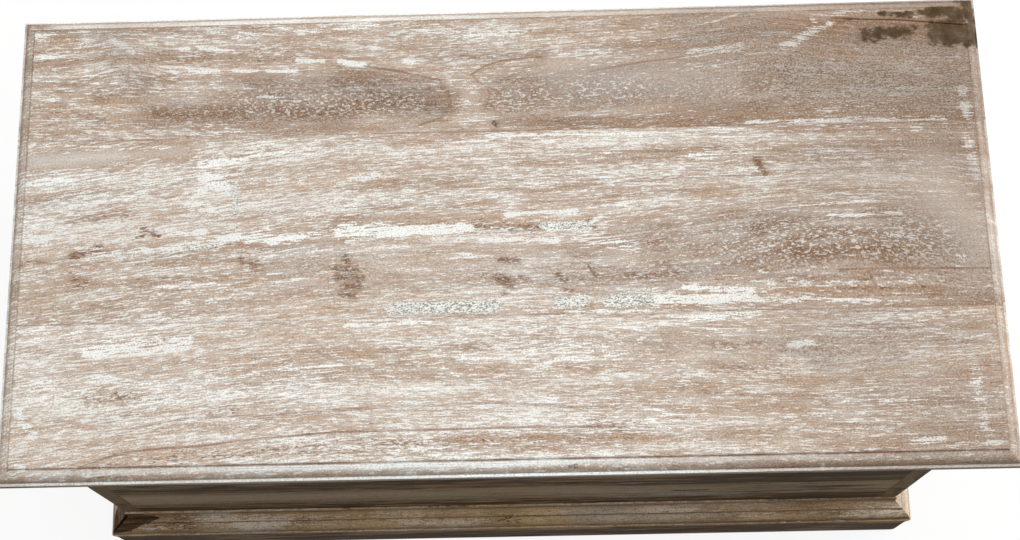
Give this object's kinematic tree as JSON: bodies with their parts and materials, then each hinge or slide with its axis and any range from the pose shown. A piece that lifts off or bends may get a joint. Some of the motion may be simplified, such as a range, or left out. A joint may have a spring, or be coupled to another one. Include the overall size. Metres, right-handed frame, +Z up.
{
  "type": "wooden trunk",
  "caption": "Limed wooden storage trunk with boarded walls, a moulded plinth and a flat boarded lid with a moulded edge that opens on hinges at the back.",
  "frame": {"origin": "on the ground below the middle of the lid", "axes": "+X to the right along the length, +Y to the back where the hinges are, +Z up"},
  "size_m": [0.9, 0.445, 0.48],
  "materials": {
    "lid_wood": "limed, matt, worn",
    "wall_wood": "limed, matt",
    "plinth_wood": "limed, matt",
    "inner_wood": "bare, planed",
    "hinge_brass": "aged",
    "steel": "dull"
  },
  "bodies": {
    "carcass": {"back_bottom_cleat": "inner_wood", "back_plinth_board": "plinth_wood", "back_wall_lower_board": "wall_wood", "back_wall_middle_board": "wall_wood", "back_wall_upper_board": "wall_wood", "bottom_board_1": "inner_wood", "bottom_board_2": "inner_wood", "bottom_board_3": "inner_wood", "bottom_board_4": "inner_wood", "bottom_nails": "steel", "cleat_screws": "steel", "front_bottom_cleat": "inner_wood", "front_plinth_board": "plinth_wood", "front_wall_lower_board": "wall_wood", "front_wall_middle_board": "wall_wood", "front_wall_upper_board": "wall_wood", "hinge_wall_screws": "hinge_brass", "left_bottom_cleat": "inner_wood", "left_hinge_pin": "hinge_brass", "left_hinge_wall_leaf": "hinge_brass", "left_plinth_board": "plinth_wood", "left_wall_lower_board": "wall_wood", "left_wall_middle_board": "wall_wood", "left_wall_upper_board": "wall_wood", "plinth_screws": "steel", "right_bottom_cleat": "inner_wood", "right_hinge_pin": "hinge_brass", "right_hinge_wall_leaf": "hinge_brass", "right_plinth_board": "plinth_wood", "right_wall_lower_board": "wall_wood", "right_wall_middle_board": "wall_wood", "right_wall_upper_board": "wall_wood"},
    "lid": {"batten_screws": "steel", "hinge_lid_screws": "hinge_brass", "left_hinge_lid_leaf": "hinge_brass", "lid_back_board": "lid_wood", "lid_front_board": "lid_wood", "lid_left_batten": "inner_wood", "lid_middle_batten": "inner_wood", "lid_middle_board": "lid_wood", "lid_right_batten": "inner_wood", "right_hinge_lid_leaf": "hinge_brass"}
  },
  "joints": [
    {"name": "lid_hinge", "type": "hinge", "parent": "carcass", "child": "lid", "pos_m": [0, 0.19565, 0.45385], "axis": [-1, 0, 0], "range_deg": [0, 97]}
  ]
}
